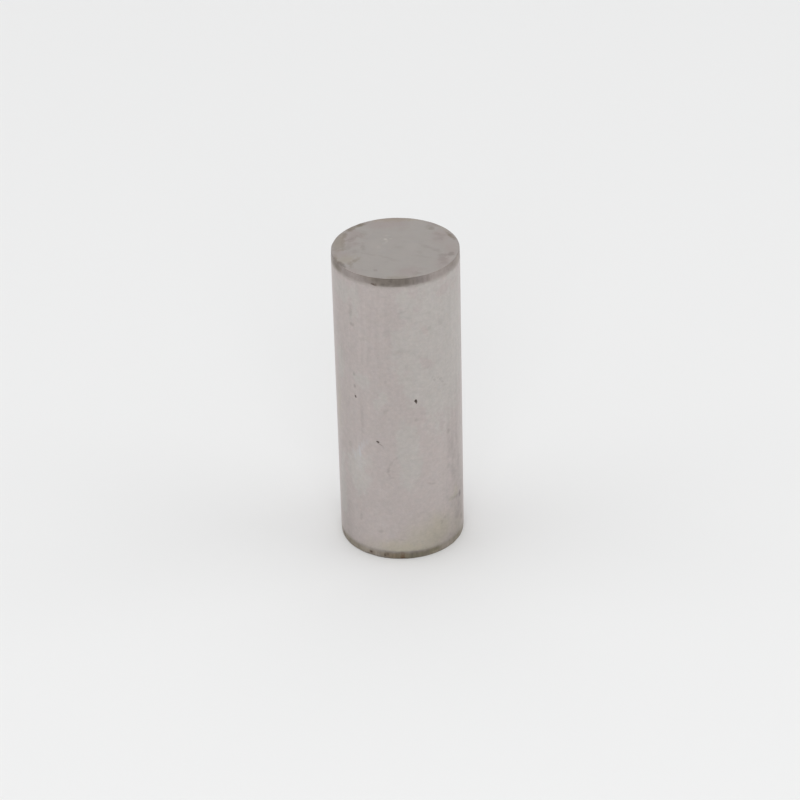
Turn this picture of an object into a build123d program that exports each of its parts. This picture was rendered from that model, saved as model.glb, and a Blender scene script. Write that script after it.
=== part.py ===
"""Crank pin of a built-up crankshaft: one solid, hardened and ground steel pin.

The pin is ground to one diameter between its two lead-ins. Its ends are pressed into the crank
webs, and the stretch between the webs is the inner track of the big-end bearing. Each lead-in is
a short, very shallow cone that was turned before grinding: it centres the pin in its web's bore
before the press fit starts to bite. Both end faces are flat, and the pin is the same either way up.

Lengths are in millimetres. The origin is the centre of the lower end face, and +Z runs up the
axis, as the pin stands on end.
"""

import os

from build123d import *

# Driving dimensions
ground_diameter = 20.0  # the web seats and the bearing track, ground in one pass
pin_length = 51.5  # over the two end faces
lead_length = 1.4  # along the axis, for each turned lead-in
lead_drop = 0.08  # on the radius, from the ground surface down to an end face
rim_round = 0.1  # edge break between a lead-in and its end face

# Stations of the turned profile: a radius, or a height above the lower end face
ground_radius = ground_diameter / 2
face_radius = ground_radius - lead_drop
ground_start = lead_length
ground_end = pin_length - lead_length

with BuildPart() as crank_pin:
    # Half section, from the axis out to the surface, drawn in the plane that holds the axis
    with BuildSketch(Plane.XZ) as half_section:
        with BuildLine() as turned_profile:
            lower_face = Line((0, 0), (face_radius, 0))
            lower_lead = Line(lower_face @ 1, (ground_radius, ground_start))
            ground_surface = Line(lower_lead @ 1, (ground_radius, ground_end))
            upper_lead = Line(ground_surface @ 1, (face_radius, pin_length))
            upper_face = Line(upper_lead @ 1, (0, pin_length))
            pin_axis = Line(upper_face @ 1, lower_face @ 0)
        make_face()
    revolve(axis=Axis.Z)

    # The lowest and the highest circle are the rims of the two end faces
    circles_by_height = crank_pin.edges().filter_by(GeomType.CIRCLE).group_by(Axis.Z)
    fillet(circles_by_height[0] + circles_by_height[-1], radius=rim_round)

crank_pin.part.label = "crank_pin"

os.makedirs("parts", exist_ok=True)
export_step(crank_pin.part, "parts/crank_pin.step")
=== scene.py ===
"""Crank pin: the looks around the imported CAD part, a worn steel pin that stands on a pale floor.

Blender works in metres. The pin's own shape and its materials are worked out in millimetres, from the
centre of its lower end face. Angles around the pin are in degrees, from the front, where the camera
is, and positive to the camera's right.
"""

import math

import bpy
import numpy as np
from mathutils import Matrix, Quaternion, Vector, noise


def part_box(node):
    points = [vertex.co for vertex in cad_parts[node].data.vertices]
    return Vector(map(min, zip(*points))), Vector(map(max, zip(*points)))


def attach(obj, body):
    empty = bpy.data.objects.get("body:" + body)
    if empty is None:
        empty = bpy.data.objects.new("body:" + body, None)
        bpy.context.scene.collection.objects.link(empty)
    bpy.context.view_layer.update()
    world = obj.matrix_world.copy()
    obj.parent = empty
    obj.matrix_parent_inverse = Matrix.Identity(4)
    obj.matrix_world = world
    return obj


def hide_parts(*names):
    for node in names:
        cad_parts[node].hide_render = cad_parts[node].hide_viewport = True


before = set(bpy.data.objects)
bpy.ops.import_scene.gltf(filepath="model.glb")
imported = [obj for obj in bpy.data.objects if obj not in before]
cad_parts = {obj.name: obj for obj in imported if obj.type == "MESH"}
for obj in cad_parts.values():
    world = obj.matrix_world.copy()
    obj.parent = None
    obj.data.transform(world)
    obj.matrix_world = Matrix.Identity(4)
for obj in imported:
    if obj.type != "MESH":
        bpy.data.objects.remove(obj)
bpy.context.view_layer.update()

MM = 0.001  # a millimetre in metres
LOW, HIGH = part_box("crank_pin")  # in metres, as AXIS is
AXIS = Vector(((HIGH.x + LOW.x) / 2, (HIGH.y + LOW.y) / 2, 0.0))
BASE = LOW.z / MM
LENGTH = (HIGH.z - LOW.z) / MM
RADIUS = (HIGH.x - LOW.x) / 2 / MM  # of the ground wall
LEAD = 1.4  # height of each turned lead-in
DROP = 0.055  # how far a lead-in runs in, on the radius
RIM = 0.055  # edge break between a lead-in and its end face
RIM_RADIUS = RADIUS - DROP  # of a lead-in where its edge break starts
MM_A_DEGREE = math.radians(1) * RADIUS  # along the wall

# The pin's material slots
WALL, LEAD_IN, END_FACE = 0, 1, 2


# ---------------------------------------------------------------------------------------------
# The pin's mesh: a lathe grid of angle lines and profile rows, closer together at each pit
# ---------------------------------------------------------------------------------------------

ANGLE_PITCH = 1.0  # degrees between angle lines, away from the pits
ROW_PITCH = 0.9  # mm between the wall's rows, away from the pits
PIT_PITCH = 0.065  # mm between lines and between rows at a pit
PIT_MARGIN = 0.22  # how far the close lines and rows go on past a pit's half size
LEAST_GAP = 0.02  # between two neighbours, in degrees or mm
FACE_RINGS = (0.6, 2.0, 4.0, 6.0, 7.5, 8.6, 9.2, 9.55)  # radii of an end face's inner rows
RIM_TURNS = (22.5, 45, 67.5, 90)  # degrees of the edge break's quarter circle
LEAD_SHARES = (0.15, 0.3, 0.45, 0.6, 0.75, 0.9, 0.97)  # where a lead-in's rows lie along it

# Pits: angle, height, half width, half height, depth and lean in degrees
PITS = [
    (15.1, 29.42, 0.165, 0.38, 0.24, 6),
    (13.9, 29.55, 0.1, 0.16, 0.07, 0),
    (-43.2, 29.25, 0.21, 0.26, 0.1, 20),
    (-44.3, 29.6, 0.09, 0.14, 0.05, 0),
    (-43.5, 31.13, 0.14, 0.16, 0.022, 0),
    (-43.8, 33.26, 0.14, 0.16, 0.022, 0),
    (-20.9, 21.98, 0.29, 0.17, 0.12, -25),
    (-20.6, 50.26, 0.28, 0.12, 0.024, 0),
    (-4.5, 51.42, 0.22, 0.08, 0.03, 0),
    (2.6, 50.16, 0.3, 0.06, 0.02, 0),
    (13.0, 51.4, 0.3, 0.06, 0.025, 0),
    (-0.6, 0.16, 0.3, 0.14, 0.05, 0),
    (-15.6, 0.62, 0.16, 0.14, 0.04, 0),
    (-31.2, 0.35, 0.14, 0.12, 0.04, 0),
]
PIT_REACH = 1.25  # a pit's slope ends this many half sizes from its centre
PIT_STEEPNESS = 0.7  # the lower, the steeper a pit's sides at its brink
PIT_ROUGHNESS = 0.9  # the share of a pit's depth that comes and goes
PIT_NOISE_CYCLES = 3.0  # to a mm
PIT_NOISE_SLICE = 3.7
FULL_PIT = 0.1  # depth from which a pit gets its full colour

# How far the upper lead-in's lower edge is raised: angle, mm
UPPER_EDGE = [
    (-180, 0.0), (-85, 0.0), (-62, 0.08), (-50, 0.18), (-40, 0.22), (-30, 0.19), (-20, 0.14), (-8, 0.09),
    (4, 0.07), (14, 0.12), (24, 0.16), (36, 0.1), (48, 0.0), (62, -0.08), (85, 0.0), (180, 0.0),
]
EDGE_REACH = 1.2  # how far up the wall the wavering of a lead-in's edge is felt
LONG_WAVER, SHORT_WAVER = 0.13, 0.10  # of the lower edge, in its longer and its shorter waves
UPPER_WAVER = -1.2  # the upper edge's wavering, as a share of the lower one's
RIM_WEAR = 0.06  # the most that is worn off the rims, on the radius


def spread(start, stop, pitch, marks):
    """Positions from start to stop, pitch apart, and closer over each (centre, reach, pitch) of marks."""
    found = list(np.linspace(start, stop, max(2, round((stop - start) / pitch) + 1)))
    for centre, reach, fine in marks:
        near = np.arange(centre - reach, centre + reach + fine / 2, fine)
        found = [p for p in found if abs(p - centre) > reach + fine / 2 or p in (start, stop)]
        found += [p for p in near if start < p < stop]
    found.sort()
    kept = [found[0]]
    for position in found[1:]:
        if position - kept[-1] > LEAST_GAP:
            kept.append(position)
    kept[-1] = stop
    return kept


def merged(marks):
    """Marks of centre, reach and pitch, with those whose reaches overlap joined into one."""
    joined = []
    for centre, reach, pitch in sorted(marks):
        start, stop = centre - reach, centre + reach
        if joined and start < joined[-1][0] + joined[-1][1]:
            last_centre, last_reach, last_pitch = joined.pop()
            start = min(start, last_centre - last_reach)
            stop = max(stop, last_centre + last_reach)
            pitch = min(pitch, last_pitch)
        joined.append(((start + stop) / 2, (stop - start) / 2, pitch))
    return joined


def profile(wall_heights):
    """Rows of radius, height and material slot, from the middle of the lower face to that of the upper."""
    flat = RIM_RADIUS - RIM
    turns = [math.radians(turn) for turn in RIM_TURNS]
    end = [(r, 0.0) for r in (*FACE_RINGS, flat)]
    end += [(flat + RIM * math.sin(turn), RIM - RIM * math.cos(turn)) for turn in turns]
    lead = [(RIM_RADIUS + DROP * share, RIM + (LEAD - RIM) * share) for share in LEAD_SHARES]
    end = [(r, z, LEAD_IN if z else END_FACE) for r, z in end] + [(r, z, LEAD_IN) for r, z in lead]
    other_end = [(r, LENGTH - z, slot) for r, z, slot in reversed(end)]
    return end + [(RADIUS, z, WALL) for z in wall_heights] + other_end


def turning_noise(theta, circle, slice_at):
    """Noise about 0 along a circle, so that it closes on itself. A larger circle gives finer noise."""
    places = [(circle * math.cos(t), circle * math.sin(t), slice_at) for t in theta]
    return np.array([noise.noise(Vector(place)) for place in places])


def pit_depths(around, heights):
    """How deep in a pit each point lies."""
    depths = np.zeros_like(heights)
    for angle, height, wide, tall, deep, lean in PITS:
        c, s = math.cos(math.radians(lean)), math.sin(math.radians(lean))
        across, up = around - angle * MM_A_DEGREE, heights - height
        away = np.sqrt(((c * across + s * up) / wide) ** 2 + ((-s * across + c * up) / tall) ** 2)
        depths = np.maximum(depths, deep * np.clip(PIT_REACH - away, 0, 1) ** PIT_STEEPNESS)
    return depths


def roughened(depths, around, heights):
    """The pits' depths made uneven."""
    uneven = np.zeros_like(depths)
    for i in np.flatnonzero(depths.any(axis=1)):
        places = [Vector((x, z, PIT_NOISE_SLICE)) * PIT_NOISE_CYCLES for x, z in zip(around[i], heights[i])]
        uneven[i] = [noise.noise(place) for place in places]
    return np.clip(depths * (1 + PIT_ROUGHNESS * uneven), 0, None)


def worn_edges(rows, radii, heights, angles):
    """Makes the lead-ins' edges waver, most of all where they meet the wall, and wears the rims."""
    theta = np.radians(angles)
    long_waves = turning_noise(theta, circle=3.4, slice_at=1.5)
    short_waves = turning_noise(theta, circle=13, slice_at=4.5)
    waver = LONG_WAVER * long_waves + SHORT_WAVER * short_waves
    risen = np.interp(angles, *zip(*UPPER_EDGE))
    worn = RIM_WEAR * np.maximum(0.0, turning_noise(theta, circle=9, slice_at=8.5))
    for i, (radius, height, _) in enumerate(rows):
        from_end = min(height, LENGTH - height)
        if radius > RIM_RADIUS and from_end < LEAD + EDGE_REACH:
            # All of it at the edge, and less over the rows on either side, so that no row passes the next
            share = ((radius - RIM_RADIUS) / DROP) ** 2 * min(1.0, 1 - (from_end - LEAD) / EDGE_REACH)
            heights[i] += share * (waver if height < LENGTH / 2 else risen + UPPER_WAVER * waver)
        if radius > FACE_RINGS[-1] and from_end < 2 * RIM:  # on the edge break
            radii[i] -= worn


def lathe_faces(slots, n_lines):
    """The faces between the rows, and a fan to the middle of each end, with their material slots."""
    faces, face_slots = [], []
    bottom, top = len(slots) * n_lines, len(slots) * n_lines + 1
    last_row = (len(slots) - 1) * n_lines
    for i, (slot, next_slot) in enumerate(zip(slots, slots[1:])):
        for j in range(n_lines):
            near, far = i * n_lines + j, i * n_lines + (j + 1) % n_lines
            faces.append((near, far, far + n_lines, near + n_lines))
            face_slots.append(slot if slot == next_slot else LEAD_IN)
    for j in range(n_lines):
        k = (j + 1) % n_lines
        faces += [(bottom, k, j), (top, last_row + j, last_row + k)]
        face_slots += [END_FACE, END_FACE]
    return faces, face_slots


def pin_mesh():
    angle_pitch = PIT_PITCH / MM_A_DEGREE
    angle_marks = [(a, (wide + PIT_MARGIN) / MM_A_DEGREE, angle_pitch) for a, _, wide, *_ in PITS]
    height_marks = [(z, tall + PIT_MARGIN, PIT_PITCH) for _, z, _, tall, *_ in PITS]
    angles = np.array(spread(-180.0, 180.0, ANGLE_PITCH, merged(angle_marks))[:-1])
    rows = profile(spread(LEAD, LENGTH - LEAD, ROW_PITCH, merged(height_marks)))

    # One number for each point: these arrays have the profile's rows, and a column for each angle
    row_radii, row_heights, slots = zip(*rows)
    radii = np.outer(row_radii, np.ones_like(angles))
    heights = np.outer(row_heights, np.ones_like(angles))
    around = np.outer(np.ones(len(rows)), angles * MM_A_DEGREE)
    depths = pit_depths(around, heights)
    worn_edges(rows, radii, heights, angles)
    depths = roughened(depths, around, heights)
    radii -= depths

    theta = np.radians(angles)
    points = np.stack([radii * np.sin(theta), -radii * np.cos(theta), heights + BASE], -1).reshape(-1, 3)
    points = np.vstack([points, [[0, 0, BASE]], [[0, 0, BASE + LENGTH]]]) * MM + np.array(AXIS)
    faces, face_slots = lathe_faces(slots, len(angles))
    mesh = bpy.data.meshes.new("pin_body")
    mesh.from_pydata(points.tolist(), [], faces)
    mesh.polygons.foreach_set("material_index", face_slots)
    mesh.polygons.foreach_set("use_smooth", [True] * len(faces))
    pits = mesh.attributes.new("pit", "FLOAT", "POINT")
    pits.data.foreach_set("value", np.append(np.clip(depths / FULL_PIT, 0, 1), [0, 0]).astype(np.float32))
    mesh.validate()
    mesh.update()
    return mesh


# ---------------------------------------------------------------------------------------------
# Materials
# ---------------------------------------------------------------------------------------------

def principled(name, colour, roughness, metallic=1.0, **fixed):
    """A material whose Principled BSDF has these values; fixed names more of its sockets."""
    material = bpy.data.materials.new(name)
    material.use_nodes = True
    shader = material.node_tree.nodes["Principled BSDF"]
    shader.inputs["Base Color"].default_value = (*colour, 1)
    shader.inputs["Roughness"].default_value = roughness
    shader.inputs["Metallic"].default_value = metallic
    for key, value in fixed.items():
        shader.inputs[key.replace("_", " ")].default_value = value
    return material, shader


class Sketch:
    """Adds nodes to one material. Each call gives the socket of its result, and all lengths are mm."""

    def __init__(self, material, shader):
        self.tree, self.shader = material.node_tree, shader
        here = self.node("TexCoord", "Object")
        here = self.vector("SUBTRACT", here, (AXIS.x, AXIS.y, LOW.z))
        self.here = self.node("VectorMath", 0, {0: here, "Scale": 1 / MM}, operation="SCALE")
        self.x, self.y, self.z = self.split(self.here)
        # The side unrolled: arc length from the front, and height
        turn = self.math("ARCTAN2", self.x, self.math("MULTIPLY", self.y, -1.0))
        self.side = self.node("CombineXYZ", 0, {0: self.math("MULTIPLY", turn, RADIUS), 1: self.z})
        self.top = self.node("CombineXYZ", 0, {0: self.x, 1: self.y})

    # Single nodes

    def node(self, kind, output=0, values=None, **settings):
        node = self.tree.nodes.new("ShaderNode" + kind)
        for key, value in settings.items():
            setattr(node, key, value)
        for slot, value in (values or {}).items():
            if isinstance(value, bpy.types.NodeSocket):
                self.tree.links.new(value, node.inputs[slot])
            else:
                node.inputs[slot].default_value = value
        return node.outputs[output]

    def split(self, vector):
        node = self.tree.nodes.new("ShaderNodeSeparateXYZ")
        self.tree.links.new(vector, node.inputs[0])
        return tuple(node.outputs)

    def math(self, operation, a, b=0.0, clamp=False):
        return self.node("Math", 0, {0: a, 1: b}, operation=operation, use_clamp=clamp)

    def multiply_add(self, a, b, c):
        return self.node("Math", 0, {0: a, 1: b, 2: c}, operation="MULTIPLY_ADD")

    def vector(self, operation, a, b, c=(0, 0, 0)):
        return self.node("VectorMath", 0, {0: a, 1: b, 2: c}, operation=operation)

    def ease(self, value, start, end, low_end=0.0, high_end=1.0):
        """Runs smoothly from low_end at start to high_end at end."""
        places = {0: value, 1: start, 2: end, 3: low_end, 4: high_end}
        return self.node("MapRange", 0, places, interpolation_type="SMOOTHSTEP")

    def noise(self, cycles, detail=2.0, rough=0.5, output=0):
        """Noise of 0 to 1 with so many cycles to a mm: one number, or three for x, y and z."""
        stretch = cycles if isinstance(cycles, tuple) else (cycles,) * 3
        place = self.vector("MULTIPLY", self.here, stretch)
        settings = {"Vector": place, "Scale": 1.0, "Detail": detail, "Roughness": rough}
        return self.node("TexNoise", output, settings)

    def grain(self, cycles, amount):
        """A rough noise of minus amount to plus amount."""
        return self.multiply_add(self.noise(cycles, detail=4.0, rough=0.7), 2 * amount, -amount)

    # Places on the pin

    def from_end(self):
        """The height of a place above the nearer end."""
        return self.math("MINIMUM", self.z, self.math("SUBTRACT", LENGTH, self.z))

    def pits(self):
        """1 in a pit, as the mesh says."""
        depth = self.node("Attribute", "Fac", attribute_name="pit")
        return self.ease(depth, 0.15, 0.8)

    def ragged(self, plane, amount, cycles):
        """The plane with its points pushed about, so that blobs on it get uneven edges."""
        push = self.vector("SUBTRACT", self.noise(cycles, detail=3.0, rough=0.6, output=1), (0.5, 0.5, 0.5))
        return self.vector("MULTIPLY_ADD", push, (amount * 2, amount * 2, 0.0), plane)

    def linear(self, x, y, a, b, c):
        """a * x + b * y + c, with no node for a factor of 0."""
        if b:
            c = self.multiply_add(y, b, c)
        return self.multiply_add(x, a, c) if a else c

    def blobs(self, plane, marks, soft, grain=None):
        """The strongest of some soft ovals: across, up, half width, half height, lean in degrees, strength.
        grain, a noise about 0, eats into their edges. Only Math nodes are used for each oval: vectors would
        all be kept at once, and Cycles has room for about 70 of them."""
        x, y, _ = self.split(plane)
        strongest = None
        for across, up, wide, tall, lean, strength in marks:
            c, s = math.cos(math.radians(lean)), math.sin(math.radians(lean))
            u = self.linear(x, y, c / wide, s / wide, -c / wide * across - s / wide * up)
            v = self.linear(x, y, -s / tall, c / tall, s / tall * across - c / tall * up)
            away = self.math("SQRT", self.multiply_add(u, u, self.math("MULTIPLY", v, v)))
            if grain is not None:
                away = self.math("ADD", away, grain)
            oval = self.ease(away, 1 - soft, 1 + soft, strength, 0.0)
            strongest = oval if strongest is None else self.math("MAXIMUM", strongest, oval)
        return strongest

    def side_blobs(self, plane, marks, soft, grain=None):
        """Blobs on the unrolled side, with the angle in degrees for across."""
        return self.blobs(plane, [(angle * MM_A_DEGREE, *rest) for angle, *rest in marks], soft, grain)

    # Changes to a colour

    def mix(self, share, a, b, blend="MIX"):
        a, b = [(*c, 1) if isinstance(c, tuple) else c for c in (a, b)]
        return self.node("Mix", 2, {0: share, 6: a, 7: b}, data_type="RGBA", blend_type=blend)

    def tinted(self, share, colour, factors):
        """The colour with its channels times these factors, where share is 1."""
        return self.mix(share, colour, self.mix(1.0, colour, factors, "MULTIPLY"))

    def shade(self, colour, factor):
        """The colour times a factor that varies over the surface."""
        return self.node("VectorMath", 0, {0: colour, "Scale": factor}, operation="SCALE")

    def lit(self, colour, field, amount):
        """The colour, brighter by amount where the field is 1."""
        return self.shade(colour, self.multiply_add(field, amount, 1.0))

    def varied(self, colour, field, amount):
        """The colour, darker or brighter by up to amount as the field goes from 0 to 1."""
        return self.shade(colour, self.multiply_add(field, 2 * amount, 1 - amount))

    def streaked(self, colour, streak, amount):
        """The colour, darker or brighter by up to half of amount, which varies over the surface."""
        centred = self.math("SUBTRACT", streak, 0.5)
        return self.shade(colour, self.multiply_add(centred, amount, 1.0))

    def speckled(self, colour, cycles, swing):
        """The colour with its channels varied one by one, by up to these shares in all."""
        field = self.noise(cycles, detail=4.0, rough=0.8, output=1)
        lowest = tuple(1 - share / 2 for share in swing)
        return self.vector("MULTIPLY", colour, self.vector("MULTIPLY_ADD", field, swing, lowest))

    def finish(self, colour, roughness, metal=None, height=None, rise=0.001):
        """Links the results to the shader; height of 0 to 1 stands for rise in mm."""
        link = self.tree.links.new
        link(colour, self.shader.inputs["Base Color"])
        link(roughness, self.shader.inputs["Roughness"])
        if metal is not None:
            link(metal, self.shader.inputs["Metallic"])
        if height is not None:
            bump = self.node("Bump", 0, {"Height": height, "Distance": rise * MM, "Strength": 1.0})
            link(bump, self.shader.inputs["Normal"])


PIT_BOTTOM = (0.110, 0.090, 0.078)

# The ground wall, of a steel that is rosy in places and greenish in others. The marks on it and on the
# lead-ins are soft ovals: angle, height, half width, half height, lean in degrees, strength.
ROSE, SAGE = (0.513, 0.462, 0.446), (0.520, 0.487, 0.465)
STRAW_TINT = (0.968, 0.987, 0.860)
GREY_AND_SHADE_COLOUR = (0.22, 0.195, 0.175)
DULL_END = (0.30, 0.265, 0.235)
GLINT_BLUE = (0.56, 0.57, 0.60)
WALL_SPECK = (0.10, 0.085, 0.075)

# Greenish
SAGE_PATCHES = [
    (42, 38, 7.6, 13.0, 0, 1.0), (8, 19.5, 1.8, 7.0, 0, 0.9), (-44, 15.0, 2.3, 4.4, 0, 0.9),
    (-36, 32.8, 2.0, 1.5, 0, 0.7), (-18, 29.6, 1.1, 1.7, 0, 0.8), (-65, 34.5, 1.1, 4.0, 0, 0.8),
    (-60, 47.5, 2.4, 2.0, 0, 0.7), (-41, 46.0, 0.9, 3.4, 0, 0.7), (-70, 10.0, 1.5, 6.0, 0, 0.8),
    (8, 47.6, 1.6, 2.6, 0, 0.8), (-32, 17.5, 0.8, 2.0, 0, 0.5),
]
# Where rose shows through the greenish steel again
ROSE_ISLANDS = [
    (26, 41.6, 1.1, 1.1, 0, 1.0), (27, 35.6, 1.2, 1.3, 0, 1.0), (46, 47.6, 1.6, 1.0, 0, 1.0),
    (17, 27, 1.3, 1.4, 0, 1.0),
]
# Yellowish, most of it near the foot
STRAW = [
    (6, 1.4, 5.6, 1.9, 0, 1.0), (30, 4.0, 4.0, 3.0, 12, 0.85), (-73, 25.5, 0.8, 4.0, 0, 0.5),
    (58, 9.6, 1.0, 0.8, 0, 0.7), (62, 2.6, 2.2, 1.8, 0, 0.45),
]
# Greyer and darker over the foot and the flanks, and a broad painted shade over the front
GREYED_AND_FRONT_SHADE = [
    (65, 2, 2.5, 9.5, 0, 0.27), (57, 1, 2.6, 2.6, 0, 0.31), (48, 0, 4.0, 4.8, 0, 0.2),
    (-68, 3, 1.9, 10.0, 0, 0.15), (-62, 34, 1.6, 22.0, 0, 0.06), (60, 20, 1.6, 9.0, 0, 0.06),
    (-15, 24.2, 1.6, 5.0, -8, 0.05), (-12, 43.1, 2.2, 3.6, 0, 0.06), (1, 36, 3.8, 20, 0, 0.055),
]
# Rubbed brighter, with a painted glint around -40 degrees, 17 to 20 mm up
RUBBED_AND_GLINT = [
    (-39, 17.0, 1.7, 3.4, 0, 0.6), (-40.0, 19.2, 0.3, 1.0, 0, 1.0), (-36.8, 18.4, 0.2, 0.7, 0, 0.6),
    (37, 15.7, 3.0, 6.0, 0, 0.3), (-27, 21.6, 0.6, 1.2, 30, 0.5), (16.5, 30.3, 0.5, 0.5, 0, 0.8),
    (59, 9.7, 0.8, 0.8, 0, 0.8), (-58, 41, 0.4, 0.6, 0, 0.6), (31, 9.3, 1.2, 1.2, 0, 0.4),
    (-24, 4.5, 2.8, 3.6, 0, 0.65), (28, 20, 3.0, 6.0, 0, 0.25),
]
# A painted bluish glint, in short upright strokes
BLUE_GLINT = [
    (-40.3, 19.3, 0.22, 1.0, 4, 0.6), (-37.6, 20.3, 0.16, 0.8, 0, 0.4), (-43.4, 19.0, 0.14, 0.7, 0, 0.4),
    (-46.0, 18.2, 0.2, 0.7, 0, 0.35), (-35.2, 20.9, 0.16, 0.7, 0, 0.3), (-31.5, 21.4, 0.3, 0.5, 0, 0.2),
    (-49.0, 18.8, 0.15, 0.5, 0, 0.25), (-41.0, 17.2, 0.5, 1.2, 0, 0.15),
]
# Where painted upright streaks stand in for reflections drawn out along the grinding
STREAK_REFLECTION_PLACES = [
    (-40, 38, 4.5, 12, 0, 1.0), (-16, 42, 2.2, 9, 0, 0.7), (62, 24, 3.5, 22, 0, 1.0),
    (180, 26, 20, 30, 0, 0.4),
]
# Small dark marks
SPECKS = [
    (-43.4, 31.13, 0.24, 0.24, 0, 0.3), (-43.8, 33.26, 0.22, 0.26, 0, 0.26),
    (-44.7, 42.2, 0.34, 0.36, -20, 0.26), (-45.6, 44.4, 0.26, 1.0, 0, 0.16),
    (-36.3, 25.4, 0.28, 2.4, 0, 0.11), (-36.0, 24.6, 0.2, 0.9, 0, 0.12),
    (-12.0, 33.2, 0.26, 0.26, 0, 0.13), (14.5, 26.1, 0.3, 0.26, 0, 0.16),
    (-12.6, 27.8, 0.5, 0.3, 60, 0.12), (-20.5, 5.1, 0.4, 0.26, 30, 0.16),
    (-41.4, 6.8, 0.24, 0.6, -10, 0.15), (-1.4, 3.7, 0.45, 0.18, -10, 0.14),
    (28.3, 13.6, 0.7, 0.16, -25, 0.14), (39.3, 5.6, 0.3, 0.4, 0, 0.14), (42.5, 6.2, 0.3, 0.25, 40, 0.12),
    (31.5, 33.1, 0.24, 0.16, 20, 0.12), (34.0, 32.5, 0.3, 0.15, -35, 0.14),
    (37.5, 32.6, 0.22, 0.15, 0, 0.12), (40.2, 32.3, 0.3, 0.2, 0, 0.13),
    (43.0, 31.6, 0.3, 0.15, -40, 0.14), (47.0, 30.7, 0.4, 0.15, -30, 0.1),
    (42.0, 42.4, 0.45, 0.45, 0, 0.09), (27, 35.1, 0.9, 0.35, 0, 0.08), (28.2, 42.0, 0.5, 0.3, 10, 0.08),
    (2.0, 38.6, 1.3, 0.45, 8, 0.09), (4.0, 45.6, 0.7, 0.16, 12, 0.1), (9.5, 44.6, 0.6, 0.14, -15, 0.09),
    (7.5, 36.0, 0.35, 0.5, 0, 0.07), (-10.5, 42.0, 0.5, 0.9, 0, 0.08), (-8.0, 45.0, 0.5, 1.6, 0, 0.06),
    (-33, 40.2, 0.5, 0.25, 0, 0.07), (20, 8.6, 0.5, 0.2, 0, 0.07), (49.6, 21.9, 0.34, 0.45, 0, 0.18),
    (53, 18.6, 0.7, 1.4, 0, 0.1), (48.4, 17.2, 0.35, 0.35, 0, 0.11), (49.0, 15.4, 0.4, 0.4, 0, 0.12),
    (56, 13.6, 0.7, 1.2, 20, 0.11), (58, 16.8, 0.5, 0.8, 0, 0.12), (62.8, 20, 0.3, 1.8, 0, 0.1),
    (66, 15.0, 0.4, 1.4, 0, 0.1), (68.6, 8.3, 0.42, 0.5, 30, 0.5), (60, 8.5, 1.3, 0.28, -14, 0.16),
    (72.7, 3.5, 0.6, 0.4, -50, 0.2), (63, 4.8, 0.6, 0.8, 0, 0.12), (-66.6, 18.6, 0.9, 0.6, 40, 0.08),
    (-52, 19.9, 0.5, 0.5, 0, 0.1), (-58, 7.6, 0.4, 1.2, 0, 0.07), (-62, 36.0, 0.3, 1.8, 0, 0.08),
    (71.0, 5.2, 0.45, 0.7, 20, 0.14), (73.5, 9.4, 0.35, 0.6, 0, 0.12), (66.0, 6.6, 0.4, 0.5, 0, 0.12),
]
# A thin bowed scratch, in six strokes, and the tail of the nick beside it
SCRATCHES = [
    (-5.0, 19.1, 0.7, 0.16, 42, 0.1), (-9.0, 18.2, 0.6, 0.18, 55, 0.15),
    (-11.4, 17.0, 0.6, 0.24, 78, 0.2), (-10.9, 15.9, 0.5, 0.2, 112, 0.15),
    (-8.8, 15.5, 0.35, 0.16, 20, 0.13), (-7.2, 16.7, 0.4, 0.14, 10, 0.08),
    (-18.9, 21.6, 0.55, 0.11, -28, 0.34), (-16.0, 21.2, 0.3, 0.12, -60, 0.14),
]


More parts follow.
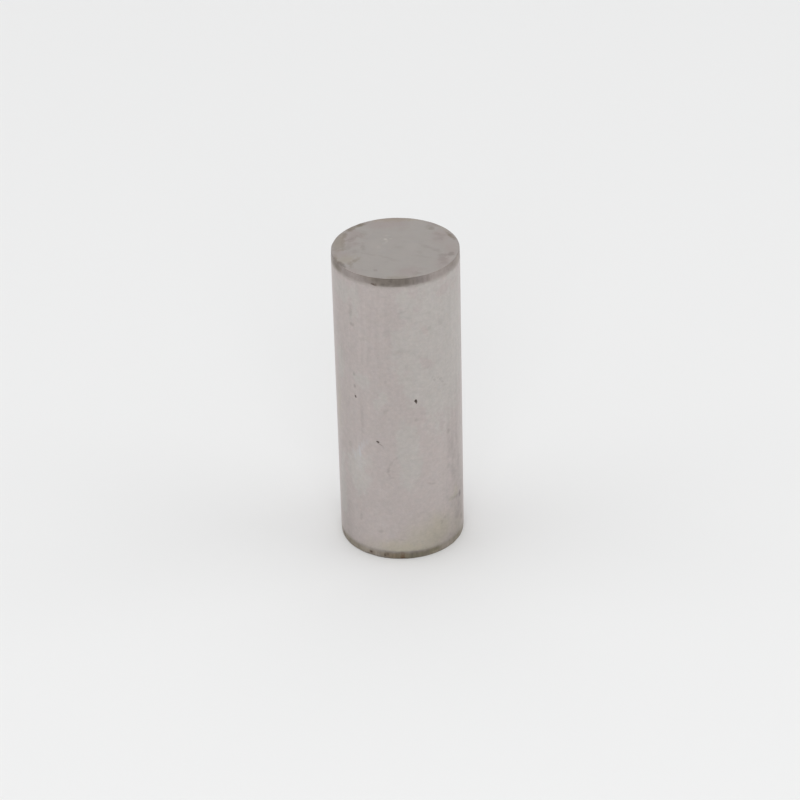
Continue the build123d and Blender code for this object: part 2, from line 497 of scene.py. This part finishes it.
def ground_steel():
    material, shader = principled("ground_steel", ROSE, 0.45)
    g = Sketch(material, shader)
    loose = g.ragged(g.side, amount=2.2, cycles=0.35)
    near = g.ragged(g.side, amount=0.12, cycles=2.6)
    behind = g.ease(g.y, 0.5, 4.0)

    # Greenish patches: placed in front, left to noise behind
    edge = g.grain(0.55, 0.9)
    sage = g.side_blobs(loose, SAGE_PATCHES, soft=0.4, grain=edge)
    patches = g.math("SUBTRACT", sage, g.side_blobs(loose, ROSE_ISLANDS, soft=0.5, grain=edge))
    back_patches = g.ease(g.noise((0.16, 0.16, 0.10)), 0.5, 0.62, 0.0, 0.9)
    patches = g.math("ADD", patches, g.math("MULTIPLY", back_patches, behind))
    colour = g.mix(g.ease(patches, 0.15, 0.85), ROSE, SAGE)
    colour = g.tinted(g.side_blobs(loose, STRAW, soft=0.8), colour, STRAW_TINT)

    # Greyer and darker over the foot and the flanks, a broad painted shade over the front, and greyer
    # towards the bottom behind
    torn = g.ragged(g.side, amount=1.6, cycles=0.7)
    greyed_and_shaded = g.side_blobs(torn, GREYED_AND_FRONT_SHADE, soft=0.95, grain=g.grain(0.9, 0.8))
    uneven_height = g.math("ADD", g.z, g.math("MULTIPLY", g.noise((0.25, 0.25, 0.2)), 9.0))
    foot = g.math("MULTIPLY", g.ease(uneven_height, 12.0, 4.0, 0.0, 0.14), behind)
    greyed_and_shaded = g.math("MAXIMUM", greyed_and_shaded, foot)
    colour = g.mix(greyed_and_shaded, colour, GREY_AND_SHADE_COLOUR)

    # The grinding fades out over the lead-ins' edges
    uneven_place = g.math("ADD", g.from_end(), g.grain(1.4, 0.35))
    fading = g.ease(uneven_place, LEAD + 0.42, LEAD - 0.1, 0.0, 0.38)
    colour = g.mix(fading, colour, DULL_END)

    # Mottling, from clouds of 3 mm down to the finest grain, and painted upright streaks of reflection
    cloud = g.noise((0.34, 0.34, 0.24), detail=6.0, rough=0.85)
    colour = g.varied(colour, cloud, 0.09)
    colour = g.varied(colour, g.noise((1.3, 1.3, 1.5), detail=5.0, rough=0.85), 0.215)
    colour = g.speckled(colour, 0.9, (0.090, 0.030, 0.070))
    streak = g.noise((1.5, 1.5, 0.09), detail=3.0, rough=0.6)
    streak_reflections = g.side_blobs(g.side, STREAK_REFLECTION_PLACES, soft=0.6)
    colour = g.streaked(colour, streak, g.math("MULTIPLY", streak_reflections, 0.20))

    # Marks, and a painted glint among the rubbed places
    colour = g.lit(colour, g.side_blobs(near, RUBBED_AND_GLINT, soft=0.7), 0.07)
    fine = g.grain(1.9, 1.1)
    # A painted bluish glint
    colour = g.mix(g.side_blobs(near, BLUE_GLINT, soft=0.7, grain=fine), colour, GLINT_BLUE)
    scratches = g.side_blobs(near, SCRATCHES, soft=0.8, grain=fine)
    specks = g.math("MAXIMUM", g.side_blobs(near, SPECKS, soft=0.75, grain=fine), scratches)
    colour = g.mix(specks, colour, WALL_SPECK)
    hollow = g.pits()
    colour = g.mix(hollow, colour, PIT_BOTTOM)

    roughness = g.multiply_add(cloud, 0.10, 0.40)
    dull = g.math("MULTIPLY", g.math("MAXIMUM", hollow, greyed_and_shaded), 0.3)
    roughness = g.math("ADD", roughness, dull, clamp=True)
    metal = g.ease(hollow, 0.0, 1.0, 1.0, 0.2)
    grinding_lines = g.noise((0.12, 0.12, 9.0), detail=3.0, rough=0.6)
    g.finish(colour, roughness, metal, grinding_lines, rise=0.0006)
    return material


# The turned lead-ins, left with their brown oxide. The lower one is browner, with rust at its foot.
OXIDE, OLIVE = (0.349, 0.308, 0.291), (0.342, 0.299, 0.263)
LOWER_TINT = (0.960, 0.972, 0.915)
GREENISH_TINT = (0.970, 0.990, 0.89)
TAN_TINT = (1.20, 1.13, 0.98)
LEAD_SPECK = (0.055, 0.043, 0.034)
BURNISHED = (0.50, 0.46, 0.43)
RUST_BROWN = (0.138, 0.066, 0.029)

# Olive
LEAD_PATCHES = [
    (-6, 50.8, 2.7, 2.0, 0, 1.0), (62, 0.7, 3.0, 1.5, 0, 0.5), (-56, 0.7, 2.6, 1.5, 0, 0.7),
    (14, 0.7, 4.6, 1.5, 0, 1.0), (-66, 50.9, 1.6, 0.8, 0, 0.8),
]
# Worn brighter
LEAD_WORN = [
    (44, 50.8, 2.2, 1.0, 0, 0.5), (75, 50.8, 1.8, 1.2, 0, 1.0), (62, 50.8, 1.2, 0.8, 0, 0.3),
    (-40, 50.8, 1.4, 0.8, 0, 0.35),
]
# Where the oxide is tan
TAN = [
    (-8, 0.6, 1.3, 0.55, 0, 0.9), (-16, 0.7, 0.9, 0.5, 0, 0.6), (0, 0.7, 0.7, 0.6, 0, 0.7),
    (-30, 0.7, 1.6, 0.5, 0, 0.3),
]
# Greenish, on the lower one
LEAD_GREENISH = [
    (12, 0.5, 1.4, 0.5, 0, 0.9), (30, 0.9, 1.2, 0.6, 0, 1.0), (-60, 0.9, 1.0, 0.4, 0, 0.4),
    (-44, 0.5, 1.0, 0.5, 0, 0.3), (66, 0.7, 1.5, 0.6, 0, 0.3),
]
# Painted reflection: both lead-ins darker at the front, mirroring the dark side where the camera stands
LEAD_FRONT_REFLECTION = [(0, 50.8, 3.2, 4.0, 0, 1.0), (0, 0.7, 3.4, 4.0, 0, 0.95)]
# Small dark marks
LEAD_DARK = [
    (19, 0.5, 0.5, 0.35, 0, 0.1), (46, 0.7, 0.3, 0.5, 0, 0.08), (-60, 0.5, 0.22, 0.5, 0, 0.14),
    (-20.5, 50.3, 0.46, 0.26, 0, 0.62), (-66, 50.95, 1.5, 0.55, 0, 0.24), (-26, 51.0, 0.9, 0.5, 0, 0.1),
    (-4.5, 51.15, 0.26, 0.3, 0, 0.24), (-11, 50.35, 0.8, 0.2, 0, 0.2), (2.5, 50.3, 0.9, 0.22, 0, 0.24),
    (0.5, 50.9, 1.0, 0.5, 0, 0.09), (-17, 51.2, 0.5, 0.25, 0, 0.14), (9.5, 50.8, 0.35, 0.6, 0, 0.12),
    (15.2, 50.6, 0.12, 0.5, 0, 0.08), (19.0, 50.8, 0.14, 0.5, 0, 0.08), (24, 50.9, 0.16, 0.5, 0, 0.1),
    (29, 50.8, 0.3, 0.5, 0, 0.08), (60, 51.1, 0.6, 0.3, 0, 0.1), (50, 1.3, 2.2, 0.35, 0, 0.16),
    (32, 1.05, 0.8, 0.45, 0, 0.26), (24, 0.8, 1.0, 0.5, 0, 0.14), (38, 1.0, 1.2, 0.5, 0, 0.08),
    (14, 1.2, 1.4, 0.2, 0, 0.12), (-55, 0.9, 1.6, 0.3, 0, 0.12), (-31.2, 0.62, 0.24, 0.17, 35, 0.6),
    (-35.5, 0.15, 0.5, 0.14, 0, 0.3), (-17.6, 0.62, 0.11, 0.34, 0, 0.5),
    (-14.6, 0.85, 0.22, 0.24, 0, 0.28), (-0.5, 0.16, 0.36, 0.2, 0, 0.45), (-72, 0.7, 0.6, 0.5, 0, 0.3),
    (-8, 1.15, 1.2, 0.12, 0, 0.14), (64, 0.9, 0.5, 0.5, 0, 0.18), (8, 0.7, 0.14, 0.5, 0, 0.12),
    (18, 0.6, 0.12, 0.5, 0, 0.12), (-46, 0.6, 0.3, 0.4, 30, 0.1),
]
# Rust, most of it at the foot
RUST = [
    (-20.4, 50.32, 0.44, 0.26, 0, 0.3), (-0.5, 0.35, 0.4, 0.36, 0, 0.62), (-0.5, 0.9, 0.34, 0.6, 0, 0.34),
    (-8, 0.5, 1.3, 0.5, 0, 0.1), (-15.5, 0.7, 0.6, 0.4, 0, 0.18), (-31, 0.5, 0.5, 0.3, 0, 0.25),
]


def turned_lead_in():
    material, shader = principled("turned_lead_in", OXIDE, 0.45, Anisotropic=0.9, Anisotropic_Rotation=0.25)
    g = Sketch(material, shader)
    g.tree.links.new(g.node("Tangent", 0, direction_type="RADIAL", axis="Z"), shader.inputs["Tangent"])
    near = g.ragged(g.side, amount=0.22, cycles=1.6)
    lower = g.ease(g.z, LENGTH * 0.6, LENGTH * 0.4)

    # Brown oxide with olive patches
    by_noise = g.ease(g.noise((0.25, 0.25, 0.3), detail=3.0), 0.48, 0.66, 0.0, 0.6)
    patches = g.math("ADD", g.side_blobs(near, LEAD_PATCHES, soft=0.5), by_noise, clamp=True)
    colour = g.mix(patches, OXIDE, OLIVE)
    colour = g.tinted(lower, colour, LOWER_TINT)
    cloud = g.noise(0.9, detail=4.0, rough=0.75)
    colour = g.varied(colour, cloud, 0.22)
    streak = g.noise((1.7, 1.7, 0.30), detail=4.0, rough=0.7)
    colour = g.streaked(colour, streak, g.ease(lower, 0.0, 1.0, 0.35, 0.75))

    # Stains and marks, and a painted reflection that darkens the front
    fine = g.grain(1.9, 1.0)
    # Painted reflection: darker at the front, as if the dark camera side were mirrored there
    front_reflection = g.side_blobs(near, LEAD_FRONT_REFLECTION, soft=0.6, grain=g.grain(0.8, 0.25))
    colour = g.lit(colour, front_reflection, -0.27)
    colour = g.lit(colour, g.side_blobs(near, LEAD_WORN, soft=0.9, grain=fine), 0.14)
    colour = g.tinted(g.side_blobs(near, LEAD_GREENISH, soft=0.8, grain=fine), colour, GREENISH_TINT)
    colour = g.tinted(g.side_blobs(near, TAN, soft=0.8, grain=fine), colour, TAN_TINT)
    dark = g.side_blobs(near, LEAD_DARK, soft=0.6, grain=fine)
    colour = g.mix(dark, colour, LEAD_SPECK)

    # The grinding has just touched it along the wall
    uneven_place = g.math("ADD", g.from_end(), g.grain(1.4, 0.30))
    touched = g.ease(uneven_place, LEAD - 0.55, LEAD + 0.05, 0.0, 0.45)
    colour = g.mix(touched, colour, BURNISHED)
    rust = g.side_blobs(near, RUST, soft=0.6, grain=fine)
    colour = g.mix(rust, colour, RUST_BROWN)
    hollow = g.pits()
    colour = g.mix(hollow, colour, PIT_BOTTOM)

    # Rougher in the dark marks, in rust, and along the foot and the upper rim
    foot = g.ease(g.math("ADD", g.z, fine), 0.75, 0.0, 0.0, 0.35)
    foot = g.math("MAXIMUM", foot, g.ease(g.z, 0.16, 0.02, 0.0, 0.6))
    upper_rim = g.ease(g.z, LENGTH - 0.22, LENGTH - 0.08, 0.0, 0.36)
    coarse = g.math("MAXIMUM", rust, g.math("MAXIMUM", g.math("MAXIMUM", dark, foot), upper_rim))
    roughness = g.multiply_add(cloud, 0.10, 0.40)
    roughness = g.math("ADD", roughness, g.math("MULTIPLY", coarse, 0.25), clamp=True)
    metal = g.ease(g.math("MAXIMUM", rust, hollow), 0.0, 1.0, 1.0, 0.4)
    turning_lines = g.noise((0.10, 0.10, 7.0), detail=3.0, rough=0.6)
    relief = g.math("ADD", turning_lines, g.math("MULTIPLY", rust, 2.0))
    g.finish(colour, roughness, metal, relief, rise=0.0015)
    return material


# The end faces: plain grey at the centre, rosy and stained towards the rim. The marks are on the upper
# one: across, away from the camera, half width, half height, lean in degrees, strength.
PLAIN, RIM_ROSE = (0.363, 0.337, 0.319), (0.355, 0.316, 0.301)
OLIVE_BROWN = (0.125, 0.092, 0.046)
STAIN_BROWN = (0.115, 0.088, 0.074)
FACE_STRAW_TINT = (0.985, 0.948, 0.875)

ROSY_PATCHES = [
    (-1.2, 8.0, 3.3, 1.7, 0, 1.0), (-6.7, 3.6, 1.4, 2.7, 0, 1.0), (-8.5, -1.3, 1.4, 1.1, 0, 0.9),
    (7.5, 3.0, 1.7, 2.6, 0, 0.9), (8.7, -0.4, 1.1, 2.2, 0, 0.9), (7.4, -4.8, 1.2, 2.3, -14, 1.0),
    (2.1, -7.8, 2.0, 1.4, 0, 1.0), (-6.9, -7.0, 1.6, 0.8, -45, 0.7), (5.6, 7.6, 0.9, 0.6, -40, 0.6),
]
OLIVE_STAINS = [
    (-6.95, 6.35, 0.62, 0.4, 42, 0.48), (-5.55, 7.62, 0.7, 0.46, 38, 0.6),
    (-6.2, 7.1, 1.6, 0.4, 40, 0.42), (-8.15, 1.6, 0.42, 1.8, 0, 0.26), (-8.2, 0.9, 0.36, 0.6, 0, 0.24),
    (-7.9, 4.4, 0.34, 1.2, -14, 0.32), (-8.9, 2.6, 0.9, 3.0, -8, 0.2), (-6.2, -3.7, 0.34, 1.0, -35, 0.22),
    (-6.9, -5.1, 0.36, 1.0, 5, 0.25), (-9.3, -2.5, 0.35, 1.0, 0, 0.12), (5.75, 6.05, 0.42, 0.45, 0, 0.24),
    (5.4, 6.6, 0.6, 0.6, 40, 0.12), (8.65, 3.5, 0.28, 1.1, 26, 0.46), (-0.8, 9.5, 4.6, 0.5, 0, 0.16),
    (-4.9, 5.0, 0.6, 0.9, 0, 0.1), (6.4, 4.4, 0.4, 0.6, 0, 0.09), (6.4, 7.3, 1.2, 0.3, -45, 0.12),
    (0.6, -9.6, 2.0, 0.35, 0, 0.14),
]
BROWN_STAINS = [
    (-8.45, -4.95, 0.4, 1.2, 30, 0.5), (-9.25, -3.4, 0.3, 0.9, 16, 0.3),
    (8.55, -2.5, 0.46, 0.52, 0, 0.27), (7.5, -2.75, 0.7, 0.4, 0, 0.18), (7.3, -4.3, 0.7, 1.5, 0, 0.12),
    (-3.1, -7.0, 0.26, 0.3, 0, 0.15), (-6.5, 3.5, 1.2, 0.4, 40, 0.2), (-5.9, 4.1, 0.5, 0.5, 0, 0.12),
    (-7.0, 2.6, 0.5, 0.5, 0, 0.14), (-5.05, 0.6, 0.34, 1.2, 8, 0.13), (-7.3, 0.6, 0.34, 1.1, 0, 0.13),
    (-6.0, 1.8, 0.7, 0.35, 0, 0.07), (-6.4, -0.9, 0.7, 0.6, 0, 0.07), (4.9, 0.2, 1.3, 0.42, -38, 0.1),
    (6.3, -1.1, 1.0, 0.4, -42, 0.1), (7.2, 3.2, 0.5, 0.9, 0, 0.1), (6.2, 2.6, 0.4, 0.5, 0, 0.07),
    (-4.2, -1.8, 1.2, 0.24, -24, 0.07), (-1.6, -2.9, 1.5, 0.26, -28, 0.07),
    (-0.4, -4.0, 0.8, 0.4, -10, 0.07), (-1.4, -4.3, 0.4, 0.3, 0, 0.05), (3.4, -8.2, 0.6, 0.5, 0, 0.12),
    (-4.7, -7.0, 0.6, 0.4, 0, 0.05), (3.6, -1.6, 0.7, 0.3, -25, 0.05), (4.6, -3.2, 1.1, 0.3, -20, 0.05),
    (8.6, -5.6, 0.3, 1.6, -28, 0.22), (-1.5, -9.3, 3.0, 0.2, 0, 0.08), (0.4, 0.4, 0.9, 0.4, -30, 0.04),
    (1.6, 2.0, 0.5, 0.5, 0, 0.04),
]
FACE_STRAW = [
    (-7.6, -3.3, 1.6, 1.2, 10, 0.8), (-0.5, 9.4, 4.8, 0.7, 0, 0.7), (0.6, -9.5, 2.2, 0.6, 0, 0.4),
    (-8.7, 2.6, 0.9, 2.6, 0, 0.5), (7.6, 6.0, 1.6, 0.5, -52, 0.4),
]
# Rubbed lighter
FACE_RUBBED = [
    (-0.6, 9.5, 5.0, 0.5, 0, 0.7), (8.5, -3.9, 0.24, 0.7, -15, 0.6), (-3.3, 1.0, 0.8, 1.3, 0, 0.25),
    (2.6, 0.4, 0.8, 1.5, 0, 0.25), (-2.6, -0.9, 0.9, 0.4, 0, 0.2), (-4.6, -3.4, 0.8, 0.8, 0, 0.2),
]
# Small bright marks
FLECKS = [
    (-1.5, 2.85, 0.22, 0.3, 0, 0.26), (-1.3, 2.1, 0.2, 0.5, -15, 0.08), (-0.7, 3.0, 0.25, 0.2, 0, 0.08),
    (-1.2, 4.1, 0.5, 0.3, 0, 0.05), (-1.7, 1.5, 0.3, 0.4, 0, 0.06), (-2.6, 0.3, 0.3, 0.5, 0, 0.04),
]


def end_face():
    material, shader = principled("end_face", PLAIN, 0.5)
    g = Sketch(material, shader)
    near = g.ragged(g.top, amount=0.30, cycles=1.3)
    upper = g.ease(g.z, LENGTH * 0.4, LENGTH * 0.6)
    lower = g.math("SUBTRACT", 1.0, upper)
    fine = g.grain(1.0, 1.4)

    # Rosy patches above, and an uneven rosy ring below
    loose = g.ragged(g.top, amount=1.6, cycles=0.35)
    from_axis = g.node("VectorMath", 1, {0: loose}, operation="LENGTH")
    uneven = g.ease(g.noise(0.28, detail=3.0, rough=0.6), 0.40, 0.56, 0.15, 1.0)
    ring = g.math("MULTIPLY", g.ease(from_axis, 5.6, 8.2), uneven)
    torn = g.ragged(g.top, amount=1.1, cycles=0.5)
    placed = g.blobs(torn, ROSY_PATCHES, soft=0.6, grain=g.grain(0.5, 0.8))
    rosy = g.math("ADD", g.math("MULTIPLY", placed, upper), g.math("MULTIPLY", ring, lower))
    colour = g.mix(rosy, PLAIN, RIM_ROSE)

    # Stains: placed above, left to noise below
    olive = g.math("MULTIPLY", g.blobs(near, OLIVE_STAINS, soft=0.7, grain=fine), upper)
    colour = g.mix(olive, colour, OLIVE_BROWN)
    stains = g.math("MULTIPLY", g.blobs(near, BROWN_STAINS, soft=0.7, grain=fine), upper)
    lower_stains = g.ease(g.noise((0.22, 0.22, 1.0), detail=4.0, rough=0.6), 0.55, 0.75, 0.0, 0.35)
    stains = g.math("MAXIMUM", stains, g.math("MULTIPLY", lower_stains, lower))
    colour = g.mix(stains, colour, STAIN_BROWN)
    straw = g.math("MULTIPLY", g.blobs(near, FACE_STRAW, soft=0.7, grain=fine), upper)
    colour = g.tinted(straw, colour, FACE_STRAW_TINT)
    rubbed = g.math("MULTIPLY", g.blobs(near, FACE_RUBBED, soft=0.9, grain=fine), upper)
    colour = g.lit(colour, rubbed, 0.12)

    cloud = g.noise(0.5, detail=5.0, rough=0.85)
    colour = g.varied(colour, cloud, 0.11)
    colour = g.speckled(colour, 0.8, (0.06, 0.03, 0.06))
    flecks = g.math("MULTIPLY", g.blobs(near, FLECKS, soft=0.6, grain=g.grain(2.0, 0.6)), upper)
    colour = g.lit(colour, flecks, 1.0)

    roughness = g.multiply_add(cloud, 0.10, 0.45)
    roughness = g.math("ADD", roughness, g.math("MULTIPLY", stains, 0.2), clamp=True)
    g.finish(colour, roughness, height=g.noise(1.6, detail=4.0, rough=0.7), rise=0.002)
    return material


# ---------------------------------------------------------------------------------------------
# Floor, light and camera, in metres
# ---------------------------------------------------------------------------------------------

PALE = (0.843, 0.846, 0.846)  # the floor, and the world where it is seen
FLOOR_REACH = 3.0
FLOOR_GAP = 0.00002  # under the pin, because two faces in one plane render black from below
AMBIENT = 0.70  # the world's share of the light on the floor

# Softboxes: azimuth and elevation in degrees, distance, size and share of light
SOFTBOXES = {
    "left_low_softbox": (-90, 36, 1.2, 0.9, 0.052),
    "left_high_softbox": (-90, 68, 1.2, 0.9, 0.065),
    "right_softbox": (88, 36, 1.2, 0.9, 0.086),
    "front_softbox": (0, 31, 0.8, 0.5, 0.11),
    "back_softbox": (180, 60, 1.2, 0.9, 0.07),
}
# Lights the floor, without a highlight on the pin
NOT_REFLECTED = "front_softbox"

CAMERA_AIM = Vector((0.0001, 0, 0.0239))  # from the middle of the pin's foot
CAMERA_DISTANCE = 0.461
CAMERA_ELEVATION = 31.46
CAMERA_ROLL = -1.55
CAMERA_LENS = 130.0  # mm, with a sensor 36 mm wide


def placed_object(name, data):
    placed = bpy.data.objects.new(name, data)
    bpy.context.scene.collection.objects.link(placed)
    return placed


def pale_floor():
    material, _ = principled("pale_floor", PALE, 0.9, 0.0, Specular_IOR_Level=0.0)
    mesh = bpy.data.meshes.new("floor")
    corners = [(-1, -1), (1, -1), (1, 1), (-1, 1)]
    mesh.from_pydata([(x * FLOOR_REACH, y * FLOOR_REACH, 0) for x, y in corners], [], [(0, 1, 2, 3)])
    mesh.materials.append(material)
    floor = placed_object("floor", mesh)
    floor.location.z = LOW.z - FLOOR_GAP
    return floor


def studio_world():
    """White light on what is dull, and a plain pale surround for the camera, metal and glass."""
    world = bpy.data.worlds.new("studio")
    world.use_nodes = True
    tree = world.node_tree
    light = tree.nodes["Background"]
    light.inputs["Color"].default_value = (1, 1, 1, 1)
    light.inputs["Strength"].default_value = AMBIENT
    shown = tree.nodes.new("ShaderNodeBackground")
    shown.inputs["Color"].default_value = (*PALE, 1)
    shown.inputs["Strength"].default_value = 1.0
    path = tree.nodes.new("ShaderNodeLightPath")
    is_shown = path.outputs["Is Camera Ray"]
    for kind in ("Is Glossy Ray", "Is Transmission Ray"):
        either = tree.nodes.new("ShaderNodeMath")
        either.operation = "MAXIMUM"
        tree.links.new(is_shown, either.inputs[0])
        tree.links.new(path.outputs[kind], either.inputs[1])
        is_shown = either.outputs[0]
    choice = tree.nodes.new("ShaderNodeMixShader")
    tree.links.new(is_shown, choice.inputs[0])
    tree.links.new(light.outputs[0], choice.inputs[1])
    tree.links.new(shown.outputs[0], choice.inputs[2])
    tree.links.new(choice.outputs[0], tree.nodes["World Output"].inputs["Surface"])
    return world


def direction_to(azimuth, elevation):
    """From the pin's foot towards what stands at these angles; azimuth 0 is the camera's side."""
    a, e = math.radians(azimuth), math.radians(elevation)
    return Vector((math.sin(a) * math.cos(e), -math.cos(a) * math.cos(e), math.sin(e)))


def softbox(name, azimuth, elevation, distance, size, share):
    """An area lamp aimed at the pin. share is what it adds to the floor, where 1 shows a white as white."""
    direction = direction_to(azimuth, elevation)
    lamp = bpy.data.lights.new(name, "AREA")
    lamp.shape = "SQUARE"
    lamp.size = size
    # The power that gives an irradiance of pi * share on the floor
    lamp.energy = share * math.pi * math.pi * distance**2 / direction.z
    box = placed_object(name, lamp)
    box.location = Vector((0, 0, LOW.z)) + direction * distance
    box.rotation_euler = direction.to_track_quat("Z", "Y").to_euler()
    box.visible_glossy = (name != NOT_REFLECTED)


def photo_camera():
    back = direction_to(0, CAMERA_ELEVATION)
    data = bpy.data.cameras.new("camera")
    data.sensor_width = 36.0
    data.lens = CAMERA_LENS
    camera = placed_object("camera", data)
    camera.location = AXIS + Vector((0, 0, LOW.z)) + CAMERA_AIM + back * CAMERA_DISTANCE
    camera.rotation_mode = "QUATERNION"
    roll = Quaternion((0, 0, 1), math.radians(CAMERA_ROLL))
    camera.rotation_quaternion = (-back).to_track_quat("-Z", "Y") @ roll
    return camera


pin = placed_object("pin", pin_mesh())
for material in (ground_steel(), turned_lead_in(), end_face()):  # in the order of the slots
    pin.data.materials.append(material)
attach(pin, "root")
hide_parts("crank_pin")

floor = pale_floor()
bpy.context.scene.world = studio_world()
for name, place in SOFTBOXES.items():
    softbox(name, *place)
bpy.context.scene.camera = photo_camera()
bpy.context.scene.view_settings.view_transform = "Standard"
